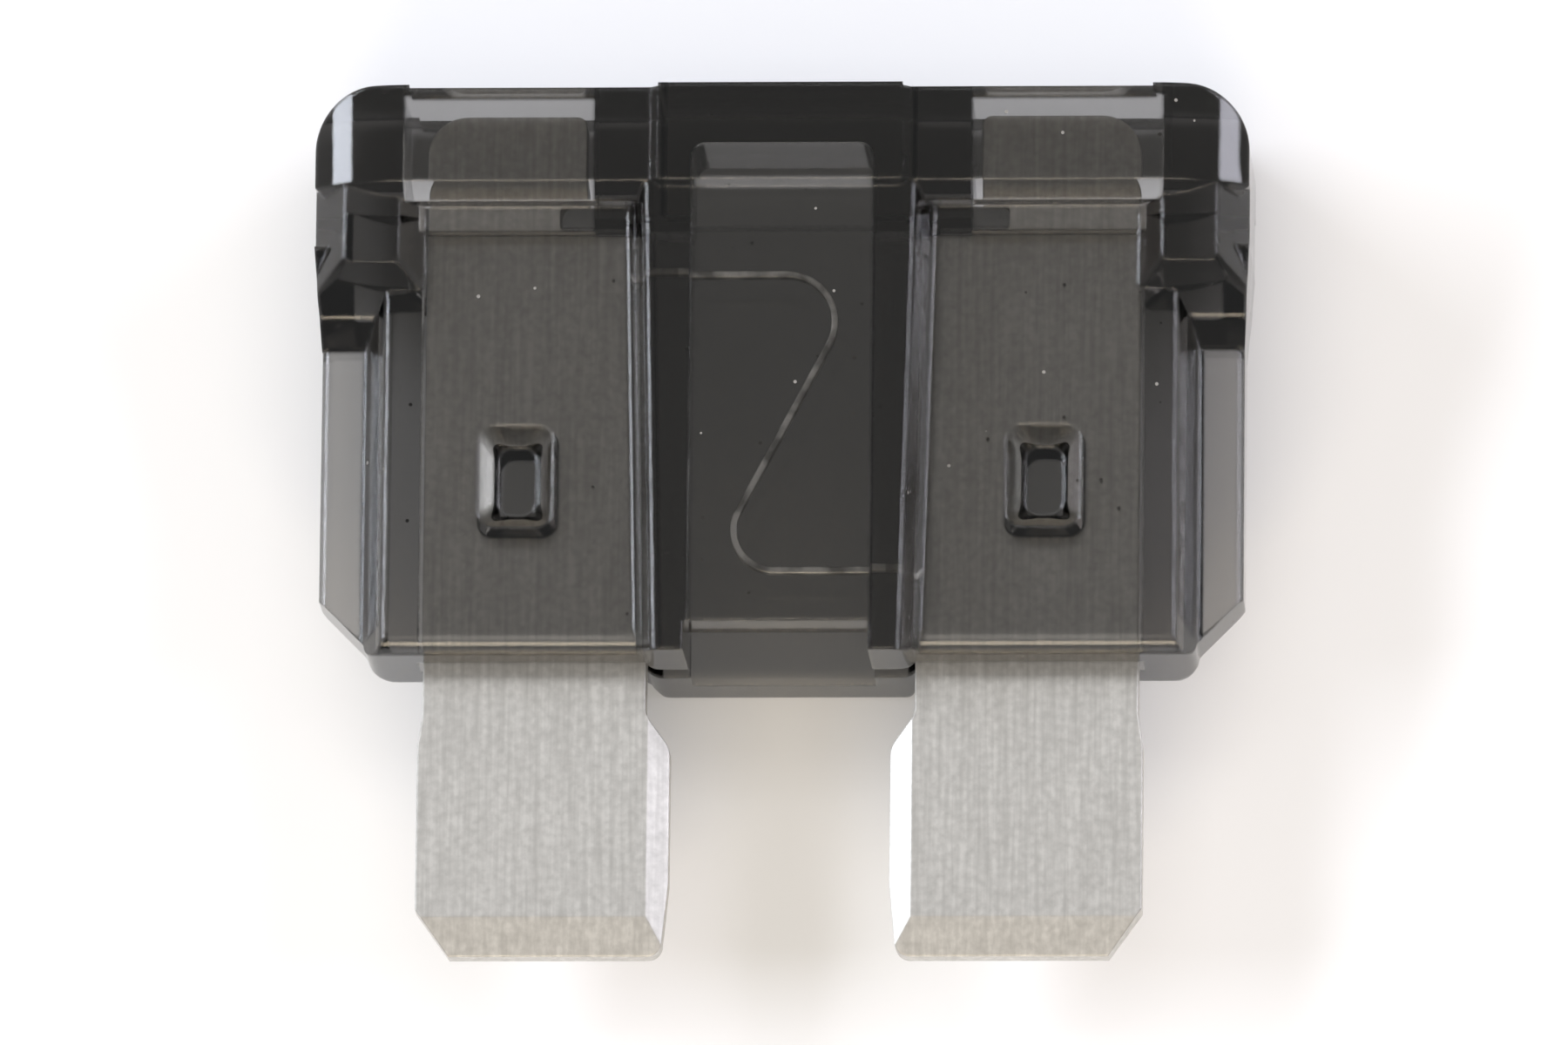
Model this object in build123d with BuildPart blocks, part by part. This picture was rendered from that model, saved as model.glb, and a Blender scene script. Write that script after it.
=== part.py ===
from build123d import *
import math
import os

os.makedirs("parts", exist_ok=True)

# Blade fuse lying on its back, in millimetres.
# X runs across both blades, Y runs from the blade tips to the flange, Z runs from the back to the front.
# The origin is the middle of the outer box in X and Y, on the back of the flange in Z.
# A depth is a distance below the top face of the flange, measured towards the blade tips.

# Whole fuse
overall_length = 17.72
body_length = 11.65

# Flange, 19.1 mm wide with the sizes below
flange_thick = 5.1
flange_height = 2.0
flange_lip = 0.11
flange_corner_radius = 1.25
flange_end_thick = 3.5
flange_underside_bevel = 0.36
panel_inner = 2.5
panel_outer = 7.6
panel_recess = 0.14
panel_crease = 0.16
panel_drop = 0.07

# Body below the flange, each pair being the size under the flange and the size at the mouth
fin_thick = 1.4
fin_reach = 0.94
pocket_wall = 0.68
pocket_slope = 0.42
pocket_thick_top = 3.15
pocket_thick_mouth = 2.9
step_foot_top = 3.15
step_foot_mouth = 2.86
box_half_top = 2.8
box_half_mouth = 2.52
box_thick_top = 4.8
box_thick_mouth = 4.6
box_drop = 0.15
edge_radius = 0.2
body_root = 0.9

# Lower corners of the body
fin_corner_rise = 0.95
pocket_corner_radius = 0.3
box_corner_radius = 0.42
mouth_edge_radius = 0.4

# Shoulders and gussets under the ends of the flange, the shoulders being measured at their flat faces
shoulder_inner = 7.78
shoulder_outer = 8.92
shoulder_thick = 4.2
shoulder_depth = 3.63
shoulder_slope = 1.8
shoulder_corner_radius = 0.15
gusset_lap = 0.4
gusset_thick = 3.4
gusset_start_depth = 3.22
gusset_depth = 5.2

# Hollows of the housing
window_half_width = 1.88
window_thick = 2.3
window_ceiling = 1.05
window_corner_radius = 0.3
mouth_relief = 0.6
test_slot_inner = 3.85
test_slot_outer = 7.75
test_slot_thick = 1.9
slot_side_clearance = 0.1
slot_face_clearance = 0.08

# Stakes that lock the element in the housing
stake_across = 5.38
stake_depth = 8.0
stake_width = 1.6
stake_length = 2.2
stake_tip_width = 0.8
stake_tip_length = 1.45
stake_web = 1.9
stake_corner_radius = 0.3

# Stamped element
strip_thick = 0.65
tab_top_depth = 0.32
tab_inner = 4.05
tab_outer_radius = 0.8
tab_inner_radius = 0.2
notch_top_depth = 1.95
notch_reach = 0.55
notch_radius = 0.3
blade_shoulder_depth = 2.8
neck_outer = 7.3
neck_inner = 2.75
neck_end_depth = 12.72
blade_start_depth = 13.38
blade_outer = 7.4
blade_inner = 2.25
blade_bend_radius = 0.5
tip_taper_depth = 16.2
tip_inner = 2.4
tip_inner_radius = 0.3
tip_chamfer_width = 0.68
tip_chamfer_length = 0.95
tip_coin_length = 0.8
side_coin_width = 0.45
coin_depth = 0.17

# Link that melts
link_width = 0.13
link_thick = 0.24
link_upper_depth = 3.55
link_lower_depth = 9.75
link_upper_radius = 1.0
link_lower_radius = 0.85
link_upper_across = 0.05
link_lower_across = -0.13
link_root = 0.3

# Levels and planes worked out from the sizes
top_y = overall_length / 2
tip_y = -overall_length / 2
mouth_y = top_y - body_length
box_mouth_y = mouth_y - box_drop
blade_shoulder_y = top_y - blade_shoulder_depth
stake_y = top_y - stake_depth
mid_z = flange_thick / 2
slot_half_width = neck_outer + slot_side_clearance
slot_thick = strip_thick + 2 * slot_face_clearance
pocket_ridge = slot_half_width + pocket_wall
pocket_base = pocket_ridge + pocket_slope
fin_half_width = pocket_base + fin_reach
half_width = fin_half_width + flange_lip
front = Plane.XY.offset(mid_z)
side = Plane(origin=(0, 0, mid_z), x_dir=(0, 1, 0), z_dir=(1, 0, 0))

# Housing: one moulding of clear tinted polycarbonate.
with BuildPart() as housing:
    # The flange is drawn in plan, with the shallow panels over the test slots and the rounded ends
    with BuildSketch(Plane(origin=(0, top_y, mid_z), x_dir=(1, 0, 0), z_dir=(0, -1, 0))):
        with BuildLine():
            face_z = flange_thick / 2
            panel_z = face_z - panel_recess
            Polyline(
                (0, face_z),
                (panel_inner, face_z),
                (panel_inner + panel_crease, panel_z),
                (panel_outer, panel_z),
            )
            TangentArc((panel_outer, panel_z), (half_width, flange_end_thick / 2), tangent=(1, 0))
            Line((half_width, flange_end_thick / 2), (half_width, 0))
            mirror(about=Plane.YZ)
            mirror(about=Plane.XZ)
        make_face()
    extrude(amount=flange_height + flange_underside_bevel)
    underside = housing.faces().sort_by(Axis.Y)[0]
    chamfer(underside.edges(), length=flange_underside_bevel)

    # The body is one tapering section: fins outside, pockets over the blades, the thick box between them
    root_section = (top_y - body_root, pocket_thick_top, step_foot_top, box_half_top, box_thick_top)
    mouth_section = (box_mouth_y, pocket_thick_mouth, step_foot_mouth, box_half_mouth, box_thick_mouth)
    for y, pocket_thick, step_foot, box_half, box_thick in (root_section, mouth_section):
        with BuildSketch(Plane(origin=(0, y, mid_z), x_dir=(1, 0, 0), z_dir=(0, -1, 0))) as section:
            with BuildLine():
                Polyline(
                    (fin_half_width, 0),
                    (fin_half_width, fin_thick / 2),
                    (pocket_base, fin_thick / 2),
                    (pocket_ridge, pocket_thick / 2),
                    (step_foot, pocket_thick / 2),
                    (box_half, box_thick / 2),
                    (0, box_thick / 2),
                )
                mirror(about=Plane.YZ)
                mirror(about=Plane.XZ)
            make_face()
            corners = section.vertices().filter_by(lambda v: abs(v.X) > edge_radius and abs(v.Y) > edge_radius)
            fillet(corners, radius=edge_radius)
    loft(ruled=True)

    # The shoulders stand out under the ends of the flange, with sloping sides
    shoulder_across = (shoulder_inner + shoulder_outer) / 2
    shoulder_y = top_y - (body_root + shoulder_depth) / 2
    for sign in (1, -1):
        for x in (shoulder_across, -shoulder_across):
            with BuildSketch(front):
                with Locations((x, shoulder_y)):
                    RectangleRounded(
                        shoulder_outer - shoulder_inner + 2 * shoulder_slope,
                        shoulder_depth - body_root + 2 * shoulder_slope,
                        shoulder_corner_radius,
                    )
            with BuildSketch(front.offset(sign * shoulder_thick / 2)):
                with Locations((x, shoulder_y)):
                    RectangleRounded(
                        shoulder_outer - shoulder_inner,
                        shoulder_depth - body_root,
                        shoulder_corner_radius,
                    )
            loft()

    # The gussets run down from the shoulders onto the fins
    for sign in (1, -1):
        with BuildSketch(side.offset(sign * (pocket_base - gusset_lap))):
            with BuildLine():
                Polyline(
                    (top_y - gusset_start_depth, 0),
                    (top_y - gusset_start_depth, gusset_thick / 2),
                    (top_y - gusset_depth, fin_thick / 2),
                    (top_y - gusset_depth, 0),
                )
                mirror(about=Plane.XZ)
            make_face()
        extrude(amount=sign * (half_width - pocket_base + gusset_lap))

    # The outline seen from the front trims every corner of the moulding
    with BuildSketch(front):
        with BuildLine():
            Line((0, top_y), (half_width - flange_corner_radius, top_y))
            TangentArc(
                (half_width - flange_corner_radius, top_y),
                (half_width, top_y - flange_corner_radius),
                tangent=(1, 0),
            )
            Polyline(
                (half_width, top_y - flange_corner_radius),
                (half_width, top_y - gusset_start_depth),
                (fin_half_width, top_y - gusset_depth),
                (fin_half_width, mouth_y + pocket_corner_radius + fin_corner_rise),
                (pocket_base, mouth_y + pocket_corner_radius),
            )
            TangentArc(
                (pocket_base, mouth_y + pocket_corner_radius),
                (pocket_base - pocket_corner_radius, mouth_y),
                tangent=(0, -1),
            )
            Line((pocket_base - pocket_corner_radius, mouth_y), (0, mouth_y))
            mirror(about=Plane.YZ)
        make_face()
        with Locations((0, box_mouth_y)):
            RectangleRounded(
                2 * step_foot_mouth,
                body_length,
                box_corner_radius,
                align=(Align.CENTER, Align.MIN),
            )
    extrude(amount=flange_thick, both=True, mode=Mode.INTERSECT)

    # The front and back edges of both pocket mouths are rounded
    pocket_face = pocket_thick_mouth / 2
    pocket_draft = (pocket_thick_top - pocket_thick_mouth) / 2 / (body_length + box_drop - body_root)
    round_start = (mouth_y, pocket_face - mouth_edge_radius)
    round_end = (
        mouth_y + mouth_edge_radius,
        pocket_face + pocket_draft * (box_drop + mouth_edge_radius),
    )
    for sign in (1, -1):
        with BuildSketch(side.offset(sign * step_foot_mouth)):
            with BuildLine():
                TangentArc(round_start, round_end, tangent=(0, 1))
                Polyline(
                    round_end,
                    (mouth_y + mouth_edge_radius, flange_thick / 2),
                    (mouth_y - mouth_edge_radius, flange_thick / 2),
                    (mouth_y - mouth_edge_radius, pocket_face - mouth_edge_radius),
                    round_start,
                )
                mirror(about=Plane.XZ)
            make_face()
        extrude(amount=sign * half_width, mode=Mode.SUBTRACT)

    # The panels over the test slots stand a little lower than the rest of the top
    with BuildSketch(front):
        with Locations((0, top_y)):
            Rectangle(2 * panel_outer, 2 * panel_drop)
            Rectangle(2 * panel_inner, 2 * panel_drop, mode=Mode.SUBTRACT)
    extrude(amount=flange_thick, both=True, mode=Mode.SUBTRACT)

    # The window hollow holds the link and is open at the mouth
    with BuildSketch(front):
        with Locations((0, box_mouth_y)):
            window = Rectangle(
                2 * window_half_width,
                body_length + box_drop - window_ceiling,
                align=(Align.CENTER, Align.MIN),
            )
        fillet(window.vertices().group_by(Axis.Y)[-1], radius=window_corner_radius)
    extrude(amount=window_thick / 2, both=True, mode=Mode.SUBTRACT)

    # The front wall of the window stops short of the mouth
    with BuildSketch(front):
        with Locations((0, box_mouth_y)):
            Rectangle(2 * window_half_width, mouth_relief, align=(Align.CENTER, Align.MIN))
    extrude(amount=flange_thick, mode=Mode.SUBTRACT)

    # One thin slot takes the whole strip, and two test slots open through the flange
    with BuildSketch(front):
        with Locations((0, box_mouth_y)):
            Rectangle(
                2 * slot_half_width,
                body_length + box_drop - blade_shoulder_depth,
                align=(Align.CENTER, Align.MIN),
            )
    extrude(amount=slot_thick / 2, both=True, mode=Mode.SUBTRACT)
    with BuildSketch(front):
        with Locations((0, blade_shoulder_y)):
            Rectangle(2 * test_slot_outer, 2 * blade_shoulder_depth, align=(Align.CENTER, Align.MIN))
            Rectangle(
                2 * test_slot_inner,
                2 * blade_shoulder_depth,
                align=(Align.CENTER, Align.MIN),
                mode=Mode.SUBTRACT,
            )
    extrude(amount=test_slot_thick / 2, both=True, mode=Mode.SUBTRACT)

    # Each stake is a plug across the slot, with a tapered dimple pressed into both sides of the pocket
    with BuildSketch(front):
        with Locations((stake_across, stake_y), (-stake_across, stake_y)):
            RectangleRounded(stake_width, stake_length, stake_corner_radius)
    extrude(amount=slot_thick / 2, both=True)
    for sign in (1, -1):
        for x in (stake_across, -stake_across):
            with BuildSketch(front.offset(sign * pocket_thick_top / 2)):
                with Locations((x, stake_y)):
                    RectangleRounded(stake_width, stake_length, stake_corner_radius)
            with BuildSketch(front.offset(sign * stake_web / 2)):
                with Locations((x, stake_y)):
                    RectangleRounded(stake_tip_width, stake_tip_length, stake_corner_radius)
            loft(mode=Mode.SUBTRACT)

housing.part.label = "housing"

# Element: one zinc alloy stamping, two blades joined by the thin link.
with BuildPart() as fuse_element:
    # Blade, neck and test tab are one outline with a notch under the tab, drawn once and mirrored
    with BuildSketch(front) as blade:
        with BuildLine():
            Polyline(
                (neck_outer, top_y - tab_top_depth),
                (tab_inner, top_y - tab_top_depth),
                (tab_inner, top_y - notch_top_depth),
                (tab_inner + notch_reach, top_y - notch_top_depth),
                (tab_inner + notch_reach, blade_shoulder_y),
                (neck_inner, blade_shoulder_y),
                (neck_inner, top_y - neck_end_depth),
                (blade_inner, top_y - blade_start_depth),
                (blade_inner, top_y - tip_taper_depth),
                (tip_inner, tip_y),
                (blade_outer - tip_chamfer_width, tip_y),
                (blade_outer, tip_y + tip_chamfer_length),
                (blade_outer, top_y - blade_start_depth),
                (neck_outer, top_y - neck_end_depth),
                (neck_outer, top_y - tab_top_depth),
            )
        make_face()
        rounded_corners = (
            (neck_outer, top_y - tab_top_depth, tab_outer_radius),
            (tab_inner, top_y - tab_top_depth, tab_inner_radius),
            (tab_inner + notch_reach, top_y - notch_top_depth, notch_radius),
            (tab_inner + notch_reach, blade_shoulder_y, notch_radius),
            (neck_inner, top_y - neck_end_depth, blade_bend_radius),
            (blade_inner, top_y - blade_start_depth, blade_bend_radius),
            (tip_inner, tip_y, tip_inner_radius),
        )
        for x, y, radius in rounded_corners:
            corner = blade.vertices().sort_by_distance((x, y, 0))[0]
            fillet(corner, radius=radius)
        with Locations((stake_across, stake_y)):
            RectangleRounded(stake_width, stake_length, stake_corner_radius, mode=Mode.SUBTRACT)
        mirror(about=Plane.YZ)
    extrude(amount=strip_thick / 2, both=True)

    # The link runs in from one blade, turns back on itself twice and ends on the other blade.
    # The straight between its two turns touches both of their circles, on opposite sides.
    upper_y = top_y - link_upper_depth
    lower_y = top_y - link_lower_depth
    centres = Vector(
        link_lower_across - link_upper_across,
        lower_y + link_lower_radius - upper_y + link_upper_radius,
    )
    lean = math.asin((link_upper_radius + link_lower_radius) / centres.length)
    turn = math.degrees(math.atan2(centres.Y, centres.X) - lean)
    with BuildSketch(front):
        with BuildLine():
            Line((-neck_inner - link_root, upper_y), (link_upper_across, upper_y))
            upper_turn = JernArc((link_upper_across, upper_y), (1, 0), link_upper_radius, turn)
            lower_turn = JernArc((link_lower_across, lower_y), (-1, 0), link_lower_radius, turn)
            Line(upper_turn @ 1, lower_turn @ 1)
            Line((link_lower_across, lower_y), (neck_inner + link_root, lower_y))
        trace(line_width=link_width)
    extrude(amount=link_thick / 2, both=True)

    # The tip and the inner edge of each blade are coined to a wedge on both faces
    for sign in (1, -1):
        with BuildSketch(side.offset(sign * blade_inner)):
            with BuildLine():
                Polyline(
                    (tip_y, strip_thick / 2),
                    (tip_y + tip_coin_length, strip_thick / 2),
                    (tip_y, strip_thick / 2 - coin_depth),
                    (tip_y, strip_thick / 2),
                )
                mirror(about=Plane.XZ)
            make_face()
        extrude(amount=sign * (blade_outer - blade_inner), mode=Mode.SUBTRACT)
        with BuildSketch(Plane(origin=(0, tip_y, mid_z), x_dir=(1, 0, 0), z_dir=(0, -1, 0))):
            with BuildLine():
                Polyline(
                    (sign * blade_inner, strip_thick / 2),
                    (sign * (blade_inner + side_coin_width), strip_thick / 2),
                    (sign * blade_inner, strip_thick / 2 - coin_depth),
                    (sign * blade_inner, strip_thick / 2),
                )
                mirror(about=Plane.XZ)
            make_face()
        extrude(amount=-(overall_length - neck_end_depth), mode=Mode.SUBTRACT)

fuse_element.part.label = "fuse_element"

export_step(housing.part, "parts/housing.step")
export_step(fuse_element.part, "parts/fuse_element.step")
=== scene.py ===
import bpy
import numpy as np
from mathutils import Matrix, Vector

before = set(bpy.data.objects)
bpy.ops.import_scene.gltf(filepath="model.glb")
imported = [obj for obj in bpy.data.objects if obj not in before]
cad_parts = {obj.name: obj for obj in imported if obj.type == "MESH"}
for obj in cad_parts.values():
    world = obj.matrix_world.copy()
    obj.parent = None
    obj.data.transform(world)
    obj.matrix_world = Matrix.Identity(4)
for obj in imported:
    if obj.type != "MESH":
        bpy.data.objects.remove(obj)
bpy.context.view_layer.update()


# Housing
# The body of the fuse: one injection moulding of clear polycarbonate, tinted smoke grey right through.
# Its polished faces are nearly mirror smooth, so its look comes from what is refracted through the walls
# and from how much tinted plastic the light has to cross.


def linear(hex_colour):
    """An sRGB hex colour as linear red, green, blue and full alpha: each channel below 0.04045 is divided
    by 12.92, and above it the channel plus 0.055, over 1.055, is raised to the power 2.4."""
    srgb = np.array([int(hex_colour[i : i + 2], 16) for i in (1, 3, 5)]) / 255
    rgb = np.where(srgb <= 0.04045, srgb / 12.92, ((srgb + 0.055) / 1.055) ** 2.4)
    return (*rgb.tolist(), 1.0)


def add_node(tree, kind, inputs=None, **settings):
    """Adds a node with its settings. Each input is named or numbered, and takes a value or a socket."""
    node = tree.nodes.new(kind)
    for name, value in settings.items():
        setattr(node, name, value)
    for key, value in (inputs or {}).items():
        socket = node.inputs[key]
        if isinstance(value, bpy.types.NodeSocket):
            tree.links.new(value, socket)
        else:
            socket.default_value = value
    return node


# A pattern's scale is its cells to the millimetre, times per_mm.
mm = 0.001
per_mm = 1000.0

polish = 0.04
refraction = 1.585
edge_round = 0.12 * mm

# In a metre of the plastic each colour is absorbed this many times what its value lacks to 1.
tint_density = 1280.0

# The slight waves that moulding leaves in the polished skin are about a millimetre long.
wave_cells = 0.9 * per_mm
wave_height = 0.008 * mm
wave_strength = 0.1

# Fine lint lies on the skin. One cell in ten holds a grain, a ball a tenth of the cell in radius, and it
# shows where the skin cuts it.
lint_cells = 2.6 * per_mm
lint_radius = 0.1
lint_draw = 0.9

polycarbonate = bpy.data.materials.new("polycarbonate_smoke_tint_moulded")
polycarbonate.use_nodes = True
tree = polycarbonate.node_tree
tree.nodes.clear()
place = add_node(tree, "ShaderNodeTexCoord").outputs["Object"]
rounded = add_node(tree, "ShaderNodeBevel", {"Radius": edge_round}, samples=4)
waves = add_node(tree, "ShaderNodeTexNoise", {"Vector": place, "Scale": wave_cells, "Detail": 2.0})
ripple = add_node(
    tree,
    "ShaderNodeBump",
    {
        "Height": waves.outputs["Fac"],
        "Strength": wave_strength,
        "Distance": wave_height,
        "Normal": rounded.outputs["Normal"],
    },
)
skin = add_node(
    tree,
    "ShaderNodeBsdfPrincipled",
    {
        "Base Color": linear("#FFFFFF"),
        "Roughness": polish,
        "IOR": refraction,
        "Transmission Weight": 1.0,
        "Normal": ripple.outputs["Normal"],
    },
)
cells = add_node(tree, "ShaderNodeTexVoronoi", {"Vector": place, "Scale": lint_cells})
near_middle = add_node(
    tree,
    "ShaderNodeMath",
    {0: cells.outputs["Distance"], 1: lint_radius},
    operation="LESS_THAN",
)
draw = add_node(tree, "ShaderNodeSeparateColor", {"Color": cells.outputs["Color"]})
drawn = add_node(tree, "ShaderNodeMath", {0: draw.outputs["Red"], 1: lint_draw}, operation="GREATER_THAN")
grain = add_node(
    tree,
    "ShaderNodeMath",
    {0: near_middle.outputs["Value"], 1: drawn.outputs["Value"]},
    operation="MULTIPLY",
)
lint = add_node(tree, "ShaderNodeBsdfDiffuse", {"Color": linear("#8E8C88")})
surface = add_node(
    tree,
    "ShaderNodeMixShader",
    {0: grain.outputs["Value"], 1: skin.outputs["BSDF"], 2: lint.outputs["BSDF"]},
)
tint = add_node(
    tree,
    "ShaderNodeVolumeAbsorption",
    {"Color": linear("#BCBAB7"), "Density": tint_density},
)
add_node(
    tree,
    "ShaderNodeOutputMaterial",
    {"Surface": surface.outputs["Shader"], "Volume": tint.outputs["Volume"]},
)
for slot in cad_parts["housing"].material_slots:
    slot.material = polycarbonate


# Fuse element
# Two blades and the thin link between them, stamped and coined in one strip of zinc alloy.
# The rolled faces are dull silver, clouded, with fine lines along the blades. The link is smoother, and
# bright and grey patches
# # are painted into its colour at random: painted highlights and shade for its cut faces catching the
# light unevenly.

blade_roughness = 0.45
link_roughness = 0.32
link_reach = 2.15 * mm
edge_round = 0.06 * mm

# The real rolling lines are finer than a pixel of the render, and are drawn nine to the millimetre so
# that they show.
lines_across = 9.0 * per_mm
lines_along = 0.4 * per_mm
line_depth = 0.01 * mm
line_strength = 0.08
cloud_cells = 6.0 * per_mm
link_highlight_cells = 1.5 * per_mm

zinc = bpy.data.materials.new("zinc_alloy_rolled_and_stamped")
zinc.use_nodes = True
tree = zinc.node_tree
tree.nodes.clear()
place = add_node(tree, "ShaderNodeTexCoord").outputs["Object"]
rounded = add_node(tree, "ShaderNodeBevel", {"Radius": edge_round}, samples=4)
drawn_out = add_node(
    tree,
    "ShaderNodeMapping",
    {"Vector": place, "Scale": (lines_across, lines_along, lines_across)},
)
lines = add_node(
    tree,
    "ShaderNodeTexNoise",
    {"Vector": drawn_out.outputs["Vector"], "Scale": 1.0, "Detail": 4.0},
)
cloud = add_node(tree, "ShaderNodeTexNoise", {"Vector": place, "Scale": cloud_cells, "Detail": 5.0})
lines_in_cloud = add_node(
    tree,
    "ShaderNodeMath",
    {0: lines.outputs["Fac"], 1: cloud.outputs["Fac"]},
    operation="MULTIPLY",
)
contrast = add_node(
    tree,
    "ShaderNodeMapRange",
    {"Value": lines_in_cloud.outputs["Value"], "From Min": 0.12, "From Max": 0.4},
)
blade_tone = add_node(
    tree,
    "ShaderNodeMix",
    {"Factor": contrast.outputs["Result"], 6: linear("#BEBCB7"), 7: linear("#D8D6D1")},
    data_type="RGBA",
)
# Painted highlights and shade on the link: its colour runs at random between a dull grey and a near-white
# bright tone.
link_highlight_patches = add_node(tree, "ShaderNodeTexNoise", {"Vector": place, "Scale": link_highlight_cells, "Detail": 2.0})
link_highlight_contrast = add_node(
    tree,
    "ShaderNodeMapRange",
    {"Value": link_highlight_patches.outputs["Fac"], "From Min": 0.38, "From Max": 0.56},
)
link_painted_highlight_tone = add_node(
    tree,
    "ShaderNodeMix",
    {"Factor": link_highlight_contrast.outputs["Result"], 6: linear("#989692"), 7: linear("#F6F4F0")},
    data_type="RGBA",
)
apart = add_node(tree, "ShaderNodeSeparateXYZ", {"Vector": place})
from_middle = add_node(tree, "ShaderNodeMath", {0: apart.outputs["X"]}, operation="ABSOLUTE")
is_link = add_node(
    tree,
    "ShaderNodeMath",
    {0: from_middle.outputs["Value"], 1: link_reach},
    operation="LESS_THAN",
)
tone = add_node(
    tree,
    "ShaderNodeMix",
    {"Factor": is_link.outputs["Value"], 6: blade_tone.outputs[2], 7: link_painted_highlight_tone.outputs[2]},
    data_type="RGBA",
)
roughness = add_node(
    tree,
    "ShaderNodeMath",
    {0: is_link.outputs["Value"], 1: link_roughness - blade_roughness, 2: blade_roughness},
    operation="MULTIPLY_ADD",
)
scored = add_node(
    tree,
    "ShaderNodeBump",
    {
        "Height": lines.outputs["Fac"],
        "Strength": line_strength,
        "Distance": line_depth,
        "Normal": rounded.outputs["Normal"],
    },
)
metal = add_node(
    tree,
    "ShaderNodeBsdfPrincipled",
    {
        "Base Color": tone.outputs[2],
        "Metallic": 1.0,
        "Roughness": roughness.outputs["Value"],
        "Normal": scored.outputs["Normal"],
    },
)
add_node(tree, "ShaderNodeOutputMaterial", {"Surface": metal.outputs["BSDF"]})
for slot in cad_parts["fuse_element"].material_slots:
    slot.material = zinc


# Floor
# A plain sheet of white paper under the fuse. A small lift makes it white for the camera, in the metal and
# through the plastic alike, and it keeps the soft shadow.

half_floor = 0.4
white_lift = 0.12

floor_mesh = bpy.data.meshes.new("floor")
corners = half_floor * np.array([(-1, -1, 0), (1, -1, 0), (1, 1, 0), (-1, 1, 0)])
floor_mesh.from_pydata(corners.tolist(), [], [(0, 1, 2, 3)])
floor = bpy.data.objects.new("floor", floor_mesh)
bpy.context.scene.collection.objects.link(floor)

paper = bpy.data.materials.new("white_paper_matt")
paper.use_nodes = True
tree = paper.node_tree
tree.nodes.clear()
sheet = add_node(tree, "ShaderNodeBsdfDiffuse", {"Color": linear("#E7E7E7")})
path = add_node(tree, "ShaderNodeLightPath")
camera_or_mirror = add_node(
    tree,
    "ShaderNodeMath",
    {0: path.outputs["Is Camera Ray"], 1: path.outputs["Is Glossy Ray"]},
    operation="MAXIMUM",
)
seen = add_node(
    tree,
    "ShaderNodeMath",
    {0: camera_or_mirror.outputs["Value"], 1: path.outputs["Is Transmission Ray"]},
    operation="MAXIMUM",
)
lift = add_node(tree, "ShaderNodeMath", {0: seen.outputs["Value"], 1: white_lift}, operation="MULTIPLY")
glow = add_node(tree, "ShaderNodeEmission", {"Strength": lift.outputs["Value"]})
white = add_node(tree, "ShaderNodeAddShader", {0: sheet.outputs["BSDF"], 1: glow.outputs["Emission"]})
add_node(tree, "ShaderNodeOutputMaterial", {"Surface": white.outputs["Shader"]})
floor_mesh.materials.append(paper)


# Light
# A dim white room with plain softboxes. The two at the sides, about 33 degrees up, draw the bright lines
# along the steps of the body. The two on the side of the blades are a little warm, and the one behind the
# flange is neutral. The ceiling between them stays dim, so the flat plastic faces look dark.

room_strength = 0.3

world = bpy.data.worlds.new("dim_white_room")
bpy.context.scene.world = world
world.use_nodes = True
tree = world.node_tree
tree.nodes.clear()
room = add_node(tree, "ShaderNodeBackground", {"Color": linear("#FFFFFF"), "Strength": room_strength})
add_node(tree, "ShaderNodeOutputWorld", {"Surface": room.outputs["Background"]})

for name, place, size, radiance, colour in (
    ("softbox_left", (-0.38, 0.1, 0.26), (0.4, 0.12), 12.5, "#EFF4FF"),
    ("softbox_right", (0.38, 0.1, 0.26), (0.4, 0.12), 7.5, "#F3F2FF"),
    ("softbox_front", (0.0, -0.39, 0.244), (0.4, 0.14), 7.0, "#FFEDD2"),
    ("softbox_front_top", (0.0, -0.172, 0.4265), (0.4, 0.13), 1.1, "#FFF3E2"),
    ("softbox_back", (0.0, 0.187, 0.42), (0.4, 0.1), 2.1, "#FDFDFF"),
):
    lamp_data = bpy.data.lights.new(name, "AREA")
    lamp_data.shape = "RECTANGLE"
    lamp_data.size, lamp_data.size_y = size
    lamp_data.energy = radiance * np.pi * size[0] * size[1]
    lamp_data.color = linear(colour)[:3]
    lamp = bpy.data.objects.new(name, lamp_data)
    lamp.location = place
    lamp.rotation_euler = (-Vector(place)).to_track_quat("-Z", "Y").to_euler()
    bpy.context.scene.collection.objects.link(lamp)


# Camera
# The photograph looks nearly straight down on the fuse, a little from its blades and from its right.
# The distance, the angles and the width seen were fitted to the photograph.

distance = 0.444
tilt, swing, roll = np.radians([12.77, 3.48, 0.64])
width_seen = 0.03202
target = Vector((0.00002, 0.00022, 0.00255))
sensor_width = 36.0
nearest_seen = 0.01

back = Vector((np.sin(swing) * np.cos(tilt), -np.sin(tilt), np.cos(swing) * np.cos(tilt)))
level = Vector((0, 1, 0)).cross(back).normalized()
upright = back.cross(level)
right = np.cos(roll) * level + np.sin(roll) * upright
up = np.cos(roll) * upright - np.sin(roll) * level
camera_data = bpy.data.cameras.new("camera")
camera_data.sensor_width = sensor_width
camera_data.lens = sensor_width * distance / width_seen
camera_data.clip_start = nearest_seen
camera = bpy.data.objects.new("camera", camera_data)
turn = Matrix((right, up, back)).transposed().to_4x4()
camera.matrix_world = Matrix.Translation(target + distance * back) @ turn
bpy.context.scene.collection.objects.link(camera)
bpy.context.scene.camera = camera
bpy.context.scene.view_settings.view_transform = "Standard"
